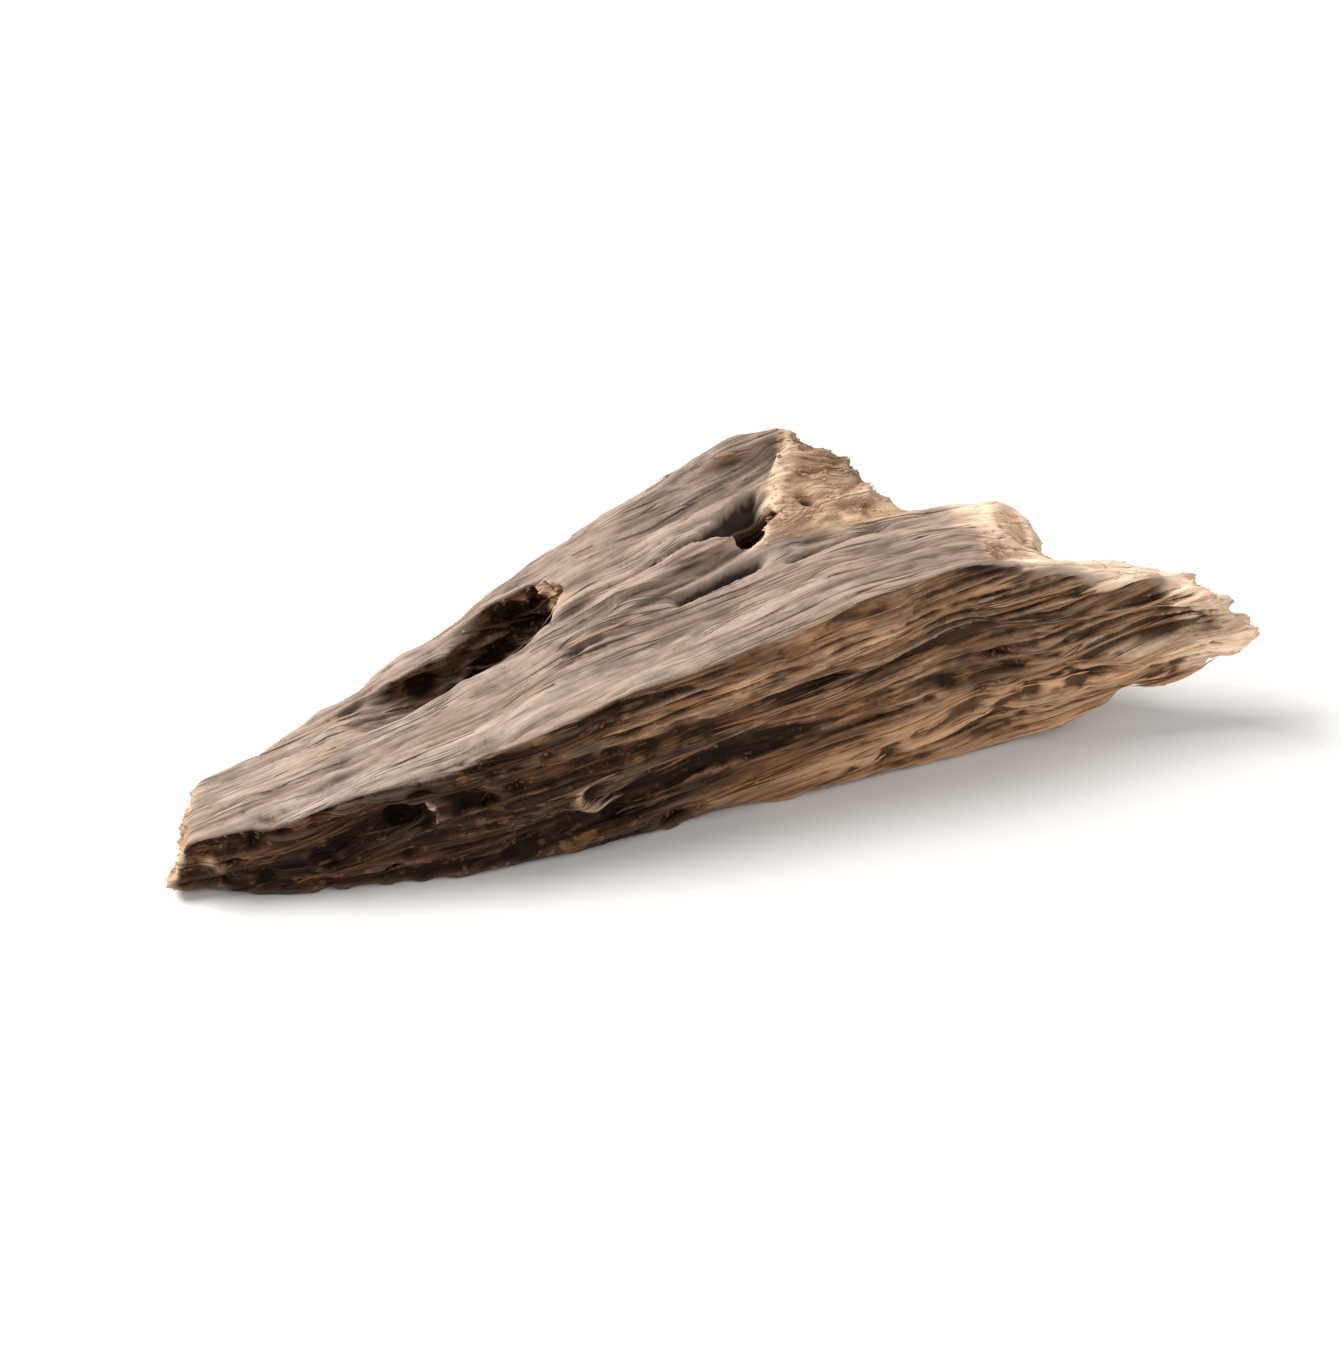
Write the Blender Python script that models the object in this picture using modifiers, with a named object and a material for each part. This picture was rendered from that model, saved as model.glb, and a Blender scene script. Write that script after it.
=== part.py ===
"""One agarwood chip: a split piece of resinous wood, lying on the flat face it was split along.

The chip is made the way such a chip forms. Convex splints, each the hull of its corners, are joined
into one wedge whose thin end breaks off in three steps. Scoops, splits and rot pits are cut out of it,
slivers are left standing on its broken ends, and then the grain is carved into its skin. Corners and
cuts are in millimetres, turned to metres by MM. While it is carved, the zero point is the front foot of
the chip: +X runs along the chip towards its thin tip, +Y towards its back and +Z up. At the end the
origin moves to the middle of the box that the chip stands in.
"""
import math
import random

import bmesh
import bpy
from mathutils import Euler, Matrix, Vector, noise
from mathutils.bvhtree import BVHTree

MM = 0.001

# The fibres run along X and climb a little towards the tip.
GRAIN_CLIMB = math.radians(9)
GRAIN = Vector((math.cos(GRAIN_CLIMB), 0, math.sin(GRAIN_CLIMB)))

SKIN_CELL = 0.5            # side of the skin's cells while it is carved, mm
MOST_TRIANGLES = 9300      # what the carved skin is thinned to
FOOT_CUT = 0.35            # height at which the flat split face cuts the underside, mm
FOOT_TO_SIDE = (0.4, 1.6)  # heights between which the carving sets in above the foot, mm

# The corners of each splint, mm.
SPLINTS = {
    "back_block": [
        (-34, 12.5, 0), (-15, 17.5, 0), (-3, 18.5, 0), (3, 16, 0), (-34, 5, 0), (2, 4, 0),
        (-34, 10.6, 6.8), (-34, 4.5, 6.4), (-24, 12.7, 9.4), (-19.2, 13.7, 11.4), (-15, 14.4, 13.3),
        (-9.8, 14.0, 16.9), (-3, 14.1, 19.4), (-0.4, 12.6, 19.9), (3.8, 11.3, 16.6),
        (6.1, 7.8, 14.0), (6.2, 11, 7), (-2.8, 8.4, 16.6), (-5, 4, 13.8), (-23.5, 2, 9.8),
    ],
    "middle_band": [
        (-20, 2, 10.6), (-20, 8, 10.2), (-6, 9, 14.1), (0, 9, 14.9), (5, 8.8, 14.7), (8.9, 7.8, 14.8),
        (11.8, 7.7, 14.3), (13.8, 6.6, 12.6), (13.9, 4.6, 10.6), (8.0, 1.0, 15.8), (0, 1.0, 15.7),
        (12.4, 4.6, 4), (10, 8, 2), (6, 9, 0), (6, 3, 0), (-20, 4, 0),
    ],
    "front_slab": [
        (-24.5, 0.6, 9.9), (-14.3, 0.4, 12.9), (-6, 0.2, 14.3), (1.2, 0.0, 15.9), (8.6, 0.6, 16.0),
        (-24.5, 0.1, 0), (-6, 0.0, 0), (5.4, -0.5, 0), (10.2, -0.2, 0.2), (-24, 8, 0), (9, 8, 0),
        (9.6, 5, 13.2), (-24, 8, 9),
    ],
    "tip_blade": [
        (2, 1.2, 14), (8.6, 0.6, 15.8), (13.3, 0.0, 14.2), (21.4, -1.3, 12.1), (24.0, -2.5, 10.1),
        (26.3, -4.1, 7.4), (20.8, -1.4, 5.0), (16.9, -0.3, 2.2), (10.2, -0.2, 0.2), (2, 1, 0),
        (22.0, 1.0, 10.4), (21.0, 1.2, 6.0), (14, 4.2, 11.6), (14, 4.2, 3), (8, 5.5, 0.5),
    ],
    "tail": [
        (-22, 0.6, 10.2), (-22, 0.2, 0), (-22, 13.8, 0), (-22, 12.8, 10.2), (-26, 0.7, 9.5),
        (-26, 0.2, 0), (-35, 3, 7.4), (-36, 2.4, 0), (-36, 12.2, 0), (-35, 10.2, 6.8),
        (-43.6, 4.4, 5.2), (-44.6, 5.2, 1.0), (-41.2, 9.6, 5.4), (-41.5, 10.4, 0.6),
    ],
}

# Scoops where a blade or rot took wood away: centre, half length along, across and deep (mm), and
# the turns about Y (climb) and Z (heading), degrees.
SCOOPS = {
    "front_hollow": ((-9, -1.6, 4.8), (17, 2.7, 3.0), (-8, 0)),
    "front_bay": ((5.0, -1.7, 8.4), (8, 2.2, 2.9), (-10, 0)),
    "tip_hollow": ((18.0, -2.9, 8.8), (7.5, 2.2, 2.1), (-2, -7)),
    "foot_bite": ((-9.5, -1.2, 0.3), (5.0, 1.7, 1.3), (0, 0)),
    "ridge_nick": ((-13.0, -0.2, 13.5), (1.9, 1.5, 0.9), (-20, 25)),
    "rot_pocket": ((-20.8, 9.6, 11.2), (4.8, 1.9, 3.0), (-16, 6)),
    "rot_tail": ((-27.0, 8.8, 9.4), (5.6, 1.5, 2.4), (-12, 0)),
    "top_valley": ((-9.0, 5.4, 17.9), (18, 2.6, 4.4), (-10, 3)),
    "top_flat": ((-9.0, 11.4, 20.6), (15, 2.6, 4.8), (-17, 0)),
    "band_valley": ((3.0, 4.6, 19.1), (11, 2.2, 4.3), (-2, -4)),
    "back_hollow": ((-13, 20.0, 8.5), (17, 3.8, 4.6), (-14, 0)),
    "back_foot": ((-4, 20.4, 2.0), (9, 3.4, 3.2), (-4, 8)),
    "break_bay": ((7.4, 14.2, 9.4), (4.2, 3.0, 5.4), (0, 20)),
    "tail_hollow": ((-35, 14.2, 5.0), (10, 3.4, 3.0), (-6, 0)),
    "tail_front": ((-36, 1.2, 4.8), (9, 1.7, 2.4), (-6, 8)),
    "inner_bay": ((12.5, 8.9, 5.0), (5, 2.6, 4.0), (0, 0)),
    "under_hollow": ((-20, 9.5, -1.6), (15, 3.6, 2.9), (0, 4)),
}

# Splits that opened along the grain: one end, other end, half width and depth (mm).
SPLITS = {
    "step_notch": ((-6.6, 8.3, 15.3), (-1.9, 8.9, 16.4), 0.75, 2.0),
    "step_split": ((-16.0, 7.4, 12.8), (-5.0, 8.0, 14.9), 0.4, 1.4),
    "band_split": ((-9.0, 5.4, 13.8), (3.5, 6.2, 15.0), 0.4, 1.3),
    "tail_split": ((-41.5, 6.4, 5.9), (-27.0, 5.0, 9.3), 0.5, 1.7),
    "back_split": ((-20, 15.6, 7.6), (-2, 16.3, 11.6), 0.6, 1.8),
}

# Rot pits on the lower front: how many, the box they lie in and their largest half sizes (mm).
PIT_COUNT = 15
PIT_BOX = ((-23, -7), (-0.6, 0.2), (1.5, 10.5))
PIT_SIZE = (1.9, 1.0, 0.75)
SMALLEST_PIT = 0.55  # the smallest pit as a share of the largest

# Slivers left on each broken end: the way they point along X, how many, the window that they are
# looked for in (Y and Z, mm), and their length and thickness (mm).
SLIVERS = {
    "tip_breaks": (1, 46, ((-3.0, 16), (1, 18.6)), (1.8, 3.6), (0.55, 1.0)),
    "tail_break": (-1, 16, ((3.6, 10), (1, 6)), (2.0, 3.4), (0.5, 0.9)),
}
LOOK_FROM = 60     # how far out along the grain a broken end is looked for from, mm
BROKEN_END = 0.45  # a face that squarely crosses the grain by this much is a broken end
MOST_LEAN = 0.09   # how far a sliver leans away from the grain
SLIVER_FLATNESS, SLIVER_TIP = 0.6, 0.25

# The carved grain: how deep each kind of mark is, and how long and wide its cells are (mm).
LEDGE_DEPTH, LEDGE_CELL = 0.5, (26, 1.6)        # steps where a layer of fibres tore off
FLUTE_DEPTH, FLUTE_CELL = 0.22, (13, 1.0)       # grooves between bundles of fibres
CHATTER_DEPTH, CHATTER_CELL = 0.34, (4.5, 2.4)  # short dents
TEAR_DEPTH, TEAR_CELL = 0.7, (1000, 1.25)       # stubs of fibres on a broken end
WANDER_BY, WANDER_CELL = 1.2, (21, 8)           # how the marks drift sideways as they run along
LEDGE_EDGE = 0.14                               # half the width of a ledge's step, as noise
CALM_TOP = 0.45                                 # how much shallower the marks are on the top


def clear_scene():
    for obj in list(bpy.data.objects):
        bpy.data.objects.remove(obj, do_unlink=True)


def new_collection(name):
    collection = bpy.data.collections.new(name)
    bpy.context.scene.collection.children.link(collection)
    return collection


def add_object(name, bm, collection):
    """Links what bm holds as an object of that name."""
    mesh = bpy.data.meshes.new(name)
    bm.to_mesh(mesh)
    bm.free()
    obj = bpy.data.objects.new(name, mesh)
    collection.objects.link(obj)
    return obj


def add_guide(name, bm, collection):
    """A shape that only joins, cuts or carves, and isn't part of the chip."""
    obj = add_object(name, bm, collection)
    obj.hide_render = True
    obj.display_type = "WIRE"
    return obj


def evaluated_bmesh(obj):
    bm = bmesh.new()
    bm.from_object(obj, bpy.context.evaluated_depsgraph_get())
    return bm


def splint_shape(corners):
    """The hull of the corners."""
    bm = bmesh.new()
    for corner in corners:
        bm.verts.new(Vector(corner) * MM)
    made = bmesh.ops.convex_hull(bm, input=bm.verts)
    inside = [v for v in made["geom_interior"] if isinstance(v, bmesh.types.BMVert)]
    bmesh.ops.delete(bm, geom=inside, context="VERTS")
    bmesh.ops.recalc_face_normals(bm, faces=bm.faces)
    return bm


def scoop_shape(centre, half_sizes, turns):
    """A ball stretched along the grain."""
    climb, heading = (math.radians(t) for t in turns)
    place = Matrix.LocRotScale(Vector(centre) * MM, Euler((0, climb, heading)), Vector(half_sizes) * MM)
    bm = bmesh.new()
    bmesh.ops.create_uvsphere(bm, u_segments=20, v_segments=12, radius=1, matrix=place)
    return bm


def split_shape(start, end, half_width, depth):
    """A blade shape, widest at the skin and in the middle of its length."""
    start, end = Vector(start) * MM, Vector(end) * MM
    half = (end - start) / 2
    size = Vector((half.length, half_width * MM, depth * MM))
    place = Matrix.LocRotScale(start + half, half.to_track_quat("X", "Z"), size)
    bm = bmesh.new()
    bmesh.ops.create_icosphere(bm, subdivisions=2, radius=1, matrix=place)
    return bm


def add_boolean(obj, guide, operation):
    modifier = obj.modifiers.new(guide.name, "BOOLEAN")
    modifier.operation = operation
    modifier.object = guide


def cut_all(form, guides):
    """Takes the scoops, splits and rot pits out of the form."""
    for name, facts in SCOOPS.items():
        add_boolean(form, add_guide(name, scoop_shape(*facts), guides), "DIFFERENCE")
    for name, facts in SPLITS.items():
        add_boolean(form, add_guide(name, split_shape(*facts), guides), "DIFFERENCE")
    chance = random.Random(7)
    for n in range(PIT_COUNT):
        centre = [chance.uniform(low, high) for low, high in PIT_BOX]
        size = [chance.uniform(SMALLEST_PIT, 1) * most for most in PIT_SIZE]
        turns = (chance.uniform(-22, 4), chance.uniform(-12, 12))
        add_boolean(form, add_guide(f"pit_{n:02d}", scoop_shape(centre, size, turns), guides), "DIFFERENCE")


def build_form(guides):
    """The joined splints, with wood cut away, as one body."""
    splints = {name: splint_shape(corners) for name, corners in SPLINTS.items()}
    form = add_guide("form", splints.pop("back_block"), guides)
    for name, shape in splints.items():
        add_boolean(form, add_guide(name, shape, guides), "UNION")
    cut_all(form, guides)
    return form


def add_sliver(bm, root, direction, length, thickness):
    """A thin tapered splinter that stands on a broken end, half its length buried in the wood."""
    size = Vector((thickness * SLIVER_FLATNESS, thickness, length)) * MM
    place = Matrix.LocRotScale(root, direction.to_track_quat("Z", "Y"), size)
    bmesh.ops.create_cone(bm, cap_ends=True, segments=6, radius1=1, radius2=SLIVER_TIP, depth=1,
                          matrix=place)


def add_slivers(bm):
    """Stands slivers where lines along the grain meet the broken ends."""
    skin = BVHTree.FromBMesh(bm)
    chance = random.Random(25)
    for way, count, window, lengths, thicknesses in SLIVERS.values():
        for _ in range(count):
            y, z = (chance.uniform(low, high) for low, high in window)
            length, thickness = chance.uniform(*lengths), chance.uniform(*thicknesses)
            lean = Vector((0, chance.uniform(-MOST_LEAN, MOST_LEAN), chance.uniform(-MOST_LEAN, MOST_LEAN)))
            start = (Vector((0, y, z)) + GRAIN * way * LOOK_FROM) * MM
            root, normal, _, _ = skin.ray_cast(start, GRAIN * -way)
            if root is not None and normal.dot(GRAIN) * way > BROKEN_END:
                add_sliver(bm, root, (GRAIN * way + lean).normalized(), length, thickness)


def smooth_step(low, high, value):
    t = min(max((value - low) / (high - low), 0), 1)
    return t * t * (3 - 2 * t)


def marks(place, cell, seed=0):
    """Noise in cells of that length along the fibres and width across them, about -0.7 to 0.7."""
    length, width = cell
    return noise.noise(Vector((place.x / length, place.y / width, place.z / width + seed)))


def carving(point, normal):
    """How far the skin moves at a point, as a vector: fluted along the fibres, torn at their ends."""
    along, up = point.dot(GRAIN), point.z * GRAIN.x - point.x * GRAIN.z
    place = Vector((along, point.y, up)) / MM
    drift = WANDER_BY * marks(place, WANDER_CELL)
    drifted = place + Vector((0, drift, drift))
    ledge = smooth_step(-LEDGE_EDGE, LEDGE_EDGE, marks(drifted, LEDGE_CELL)) - 0.5
    side = LEDGE_DEPTH * ledge
    side += FLUTE_DEPTH * marks(drifted, FLUTE_CELL, seed=3)
    side += CHATTER_DEPTH * marks(place, CHATTER_CELL, seed=9)
    side *= 1 - CALM_TOP * smooth_step(0.3, 0.8, normal.z)
    end = smooth_step(0.5, 0.9, abs(normal.dot(GRAIN)))
    tear = math.copysign(TEAR_DEPTH * marks(place, TEAR_CELL, seed=17), normal.x)
    return (normal * side * (1 - end) + GRAIN * tear * end) * MM


def carve(bm):
    """Moves every point of the skin but those of the flat foot."""
    bm.normal_update()
    moves = [carving(v.co, v.normal) * smooth_step(*FOOT_TO_SIDE, v.co.z / MM) for v in bm.verts]
    for v, move in zip(bm.verts, moves):
        v.co += move


def drop_crumbs(bm):
    """Keeps the largest body, without any tip of a sliver that came loose as a crumb."""
    waiting = set(bm.verts)
    bodies = []
    while waiting:
        reached = [waiting.pop()]
        for v in reached:
            near = {e.other_vert(v) for e in v.link_edges} & waiting
            waiting -= near
            reached.extend(near)
        bodies.append(reached)
    bodies.sort(key=len)
    for crumb in bodies[:-1]:
        bmesh.ops.delete(bm, geom=crumb, context="VERTS")


def cut_foot(bm):
    """The flat face that the chip was split along."""
    height = Vector((0, 0, FOOT_CUT * MM))
    cut = bmesh.ops.bisect_plane(bm, geom=bm.verts[:] + bm.edges[:] + bm.faces[:], dist=1e-7,
                                 plane_co=height, plane_no=(0, 0, -1), clear_outer=True)
    rims = [e for e in cut["geom_cut"] if isinstance(e, bmesh.types.BMEdge)]
    bmesh.ops.triangle_fill(bm, use_beauty=True, use_dissolve=False, edges=rims, normal=(0, 0, -1))
    bmesh.ops.triangulate(bm, faces=bm.faces)


def stand_on_origin(bm):
    """Moves the chip so that the origin is the middle of its underside's box."""
    low = Vector(min(v.co[i] for v in bm.verts) for i in range(3))
    high = Vector(max(v.co[i] for v in bm.verts) for i in range(3))
    middle = Vector(((low.x + high.x) / 2, (low.y + high.y) / 2, low.z))
    bmesh.ops.translate(bm, verts=bm.verts, vec=-middle)


def wood():
    material = bpy.data.materials.new("agarwood")
    material.use_nodes = True
    shader = material.node_tree.nodes["Principled BSDF"]
    shader.inputs["Base Color"].default_value = (0.26, 0.19, 0.13, 1)
    shader.inputs["Roughness"].default_value = 0.75
    shader.inputs["Metallic"].default_value = 0
    return material


def main():
    clear_scene()
    guides = new_collection("guides")
    bm = evaluated_bmesh(build_form(guides))
    add_slivers(bm)
    rough = add_guide("rough", bm, guides)
    skin = rough.modifiers.new("even_skin", "REMESH")
    skin.mode = "VOXEL"
    skin.voxel_size = SKIN_CELL * MM

    bm = evaluated_bmesh(rough)
    carve(bm)
    carved = add_guide("carved", bm, guides)
    thin = carved.modifiers.new("thin_out", "DECIMATE")
    thin.ratio = MOST_TRIANGLES / sum(len(p.vertices) - 2 for p in carved.data.polygons)
    thin.use_collapse_triangulate = True

    bm = evaluated_bmesh(carved)
    cut_foot(bm)
    drop_crumbs(bm)
    stand_on_origin(bm)
    bmesh.ops.recalc_face_normals(bm, faces=bm.faces)
    chip = add_object("agarwood_chip", bm, new_collection("agarwood_chip"))
    chip.data.materials.append(wood())


main()
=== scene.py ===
# %% [markdown]
# # A split chip of agarwood
#
# Agarwood is a pale, light wood that the tree soaks with dark resin where it was wounded. Chips are
# split off along the grain and weather to a silvery tan on the side that faced the air. This lesson
# dresses the imported solid of one such chip: its skin gets torn layers, cracks, rot pits and ragged ends,
# loose splinters and crumbs are laid on it, and materials stain it from silver to nearly black.
#
# The imported solid is the fixed frame. Nothing here moves it.

# %% The imported chip
import math

import bmesh
import bpy
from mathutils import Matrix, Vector


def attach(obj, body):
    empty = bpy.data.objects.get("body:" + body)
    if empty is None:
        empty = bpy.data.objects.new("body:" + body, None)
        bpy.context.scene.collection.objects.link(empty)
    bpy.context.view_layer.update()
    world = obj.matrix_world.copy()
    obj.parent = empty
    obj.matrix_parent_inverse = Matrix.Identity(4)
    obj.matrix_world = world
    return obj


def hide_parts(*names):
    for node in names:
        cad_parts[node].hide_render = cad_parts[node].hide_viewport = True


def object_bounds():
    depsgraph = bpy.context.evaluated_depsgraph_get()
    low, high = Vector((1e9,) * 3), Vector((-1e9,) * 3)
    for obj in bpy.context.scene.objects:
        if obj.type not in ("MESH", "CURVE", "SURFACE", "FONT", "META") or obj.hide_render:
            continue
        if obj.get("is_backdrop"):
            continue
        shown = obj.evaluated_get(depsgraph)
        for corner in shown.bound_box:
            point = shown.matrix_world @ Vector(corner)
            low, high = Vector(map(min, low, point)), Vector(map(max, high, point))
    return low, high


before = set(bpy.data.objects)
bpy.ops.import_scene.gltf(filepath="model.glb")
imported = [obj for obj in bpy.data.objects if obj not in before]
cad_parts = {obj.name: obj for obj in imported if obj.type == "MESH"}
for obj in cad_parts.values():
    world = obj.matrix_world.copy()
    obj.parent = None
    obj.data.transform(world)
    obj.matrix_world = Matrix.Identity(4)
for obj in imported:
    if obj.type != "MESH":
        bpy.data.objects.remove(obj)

CHIP = "agarwood_chip"
cad_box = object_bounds()
print("packed box, mm:", [[round(c * 1000, 1) for c in corner] for corner in cad_box])

# %% [markdown]
# ## Light, floor and camera
#
# The chip is seen from above its front, 41 degrees above the horizon and turned 21 degrees. A long lens
# keeps its sides parallel. One broad soft light comes from the upper left and a little behind, which
# rakes over the top and leaves the front darker, and a weaker one fills the front. The floor is pale.

# %% The view
MM = 0.001
VIEW_TURN, VIEW_HEIGHT = math.radians(-21), math.radians(41)
LENS, SENSOR = 110, 36            # mm
NEAREST, FARTHEST = 0.01, 20      # m, what the camera sees
FRAME_SIDE = 86 * MM              # what the frame's long side spans at the chip
AIM = Vector((-1.2, 0, 6.5)) * MM


def toward(turn, height):
    """The direction from the chip to whatever stands at that turn and height round it."""
    level = Vector((math.sin(turn), -math.cos(turn), 0)) * math.cos(height)
    return level + Vector((0, 0, math.sin(height)))


def add_camera():
    data = bpy.data.cameras.new("camera")
    data.lens, data.sensor_width = LENS, SENSOR
    data.clip_start, data.clip_end = NEAREST, FARTHEST
    camera = bpy.data.objects.new("camera", data)
    bpy.context.scene.collection.objects.link(camera)
    back = toward(VIEW_TURN, VIEW_HEIGHT)
    camera.location = AIM + back * FRAME_SIDE * LENS / SENSOR
    camera.rotation_mode = "QUATERNION"
    camera.rotation_quaternion = (-back).to_track_quat("-Z", "Y")
    bpy.context.scene.camera = camera
    print("camera distance, mm:", round((camera.location - AIM).length / MM))


add_camera()


# %% Lights
def add_light(name, turn, height, distance, side, watts, colour):
    """A square soft light that looks at the chip."""
    data = bpy.data.lights.new(name, "AREA")
    data.size, data.energy, data.color = side, watts, colour
    light = bpy.data.objects.new(name, data)
    bpy.context.scene.collection.objects.link(light)
    away = toward(math.radians(turn), math.radians(height))
    light.location = away * distance
    light.rotation_mode = "QUATERNION"
    light.rotation_quaternion = (-away).to_track_quat("-Z", "Y")
    print(f"{name}: {watts} W from {round(distance / MM)} mm away")


add_light("key", turn=-122, height=50, distance=0.9, side=0.4, watts=9.5, colour=(1, 0.975, 0.94))
add_light("fill", turn=32, height=38, distance=1.1, side=0.9, watts=2.4, colour=(1, 0.96, 0.90))

# %% Floor and sky
BACKDROP_SIDE = 4.0               # m
FLOOR_WHITE, FLOOR_ROUGHNESS = (0.86, 0.86, 0.855, 1), 0.9
SKY_STRENGTH = 0.48


def add_floor():
    bpy.ops.mesh.primitive_plane_add(size=BACKDROP_SIDE)
    floor = bpy.context.active_object
    floor.name = "floor"
    paper = bpy.data.materials.new("pale_floor")
    paper.use_nodes = True
    shader = paper.node_tree.nodes["Principled BSDF"]
    shader.inputs["Base Color"].default_value = FLOOR_WHITE
    shader.inputs["Roughness"].default_value = FLOOR_ROUGHNESS
    floor.data.materials.append(paper)
    floor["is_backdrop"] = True


def add_sky():
    world = bpy.data.worlds.new("studio")
    world.use_nodes = True
    background = world.node_tree.nodes["Background"]
    background.inputs["Color"].default_value = (1, 1, 1, 1)
    background.inputs["Strength"].default_value = SKY_STRENGTH
    bpy.context.scene.world = world


add_floor()
add_sky()
bpy.context.scene.view_settings.view_transform = "Standard"
print("stage: a floor of", BACKDROP_SIDE, "m and a white sky of strength", SKY_STRENGTH)

# %% [markdown]
# ## Writing node trees as sums
#
# Geometry Nodes and shader nodes share most of their maths. A node tree reads better as a formula than
# as a page of links, so a Wire stands for one node's output, and +, - and * on it add the Math node that
# does the same. Every tree is laid out in columns at the end, so that it can be read in Blender too.

# %% A wire
class Wire:
    """One output in a node tree, that formulas can be written with."""

    def __init__(self, socket):
        self.socket = socket
        self.tree = socket.id_data

    def __add__(self, other):
        return maths("ADD", self, other)

    def __sub__(self, other):
        return maths("SUBTRACT", self, other)

    def __rsub__(self, other):
        return maths("SUBTRACT", other, self)

    def __mul__(self, other):
        return maths("MULTIPLY", self, other)


# %% Nodes as functions
def node(tree, kind, inputs=None, **settings):
    """Adds a node with its settings, and fills its inputs with values or joins them to wires."""
    made = tree.nodes.new(kind)
    for name, value in settings.items():
        setattr(made, name, value)
    for name, value in (inputs or {}).items():
        if isinstance(value, Wire):
            tree.links.new(value.socket, made.inputs[name])
        else:
            made.inputs[name].default_value = value
    return made


def tree_of(*values):
    return next(v.tree for v in values if isinstance(v, Wire))


def maths(operation, a, b=0.0):
    made = node(tree_of(a, b), "ShaderNodeMath", {0: a, 1: b}, operation=operation)
    return Wire(made.outputs[0])


def vector_maths(operation, a, b=(0.0, 0.0, 0.0)):
    made = node(tree_of(a, b), "ShaderNodeVectorMath", {0: a, 1: b}, operation=operation)
    single = operation in ("DOT_PRODUCT", "DISTANCE", "LENGTH")
    return Wire(made.outputs["Value" if single else "Vector"])


def scaled(vector, by):
    made = node(tree_of(vector, by), "ShaderNodeVectorMath", {0: vector, "Scale": by}, operation="SCALE")
    return Wire(made.outputs["Vector"])


def ramp(value, low, high, start=0.0, end=1.0):
    """Goes smoothly from start to end while value goes from low to high."""
    facts = {"Value": value, "From Min": low, "From Max": high, "To Min": start, "To Max": end}
    made = node(value.tree, "ShaderNodeMapRange", facts, interpolation_type="SMOOTHSTEP")
    return Wire(made.outputs["Result"])


def blend(share, a, b):
    """a where share is 0 and b where it is 1."""
    return maths("ADD", maths("SUBTRACT", b, a) * share, a)


def join_vector(x, y, z):
    made = node(tree_of(x, y, z), "ShaderNodeCombineXYZ", {0: x, 1: y, 2: z})
    return Wire(made.outputs[0])


def split_vector(vector):
    return [Wire(s) for s in node(vector.tree, "ShaderNodeSeparateXYZ", {0: vector}).outputs]


# %% Laying a tree out
def lay_out(tree, column=200, row=170):
    """Sets each node in a column to the right of every node that it reads."""
    depth = {}

    def depth_of(made):
        if made not in depth:
            before = [link.from_node for s in made.inputs for link in s.links]
            depth[made] = 1 + max([depth_of(b) for b in before], default=-1)
        return depth[made]

    height = {}
    for made in tree.nodes:
        x = depth_of(made)
        made.location = (x * column, -height.get(x, 0) * row)
        height[x] = height.get(x, 0) + 1


# %% [markdown]
# ## Patterns that follow the fibres
#
# The fibres run along the chip and climb 9 degrees towards its thin tip. Every pattern here is noise in
# cells that are long along the fibres and narrow across them, so all of them read the same place: how
# far along, across and up through the fibres a point is, in millimetres. The fibres also wander a little,
# as they do round knots.

# %% Grain coordinates and noise
GRAIN_CLIMB = math.radians(9)
GRAIN = Vector((math.cos(GRAIN_CLIMB), 0, math.sin(GRAIN_CLIMB)))
WANDER = 1.3                              # mm to either side
SWAY, LIFT = (19, 8, 1.5), (19, 8, 7.5)   # a pattern's length and width in mm, and its seed, as below
print("the fibres run along", [round(c, 3) for c in GRAIN])


def cells(place, length, width):
    """The place measured in cells of that length along the fibres and that width across them."""
    return vector_maths("MULTIPLY", place, (1 / length, 1 / width, 1 / width))


def noise(place, length, width, seed, detail=2.0, rough=0.5):
    facts = {"Vector": cells(place, length, width), "W": seed, "Scale": 1}
    facts.update({"Detail": detail, "Roughness": rough})
    made = node(place.tree, "ShaderNodeTexNoise", facts, noise_dimensions="4D")
    return Wire(made.outputs["Fac"])


def voronoi(place, length, width, seed):
    facts = {"Vector": cells(place, length, width), "W": seed, "Scale": 1}
    return node(place.tree, "ShaderNodeTexVoronoi", facts, voronoi_dimensions="4D")


def fibre_place(position):
    """Along, across and up through the fibres, mm."""
    facts = {"Vector": scaled(position, 1 / MM), "Angle": GRAIN_CLIMB}
    turned = Wire(node(position.tree, "ShaderNodeVectorRotate", facts, rotation_type="Y_AXIS").outputs[0])
    sway, lift = [(noise(turned, *pattern) - 0.5) * (2 * WANDER) for pattern in (SWAY, LIFT)]
    return vector_maths("ADD", turned, join_vector(0.0, sway, lift))


# %% [markdown]
# ## Streaks that stay long on every side
#
# A pattern that is narrow both ways across the fibres is cut short wherever the skin isn't quite along
# them, and then looks like lumps. Split wood shows long streaks because it parted along its fibres. So a
# pattern is drawn twice, each time stretched through the skin it is meant for: through the breadth for
# the sides, and through the height for the top and the underside. How far the skin faces up mixes them.

# %% Two drawings of one pattern
THROUGH = 0.22         # how fast a pattern changes through the skin, against along the skin
CRACK_GAPS = 0.14      # how softly a crack opens and closes


def over_skin(pattern, place, upward):
    """The pattern as the sides show it where upward is 0, and as the top does where it is 1."""
    sides = pattern(vector_maths("MULTIPLY", place, (1, THROUGH, 1)))
    top = pattern(vector_maths("MULTIPLY", place, (1, 1, THROUGH)))
    return blend(upward, sides, top)


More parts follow.
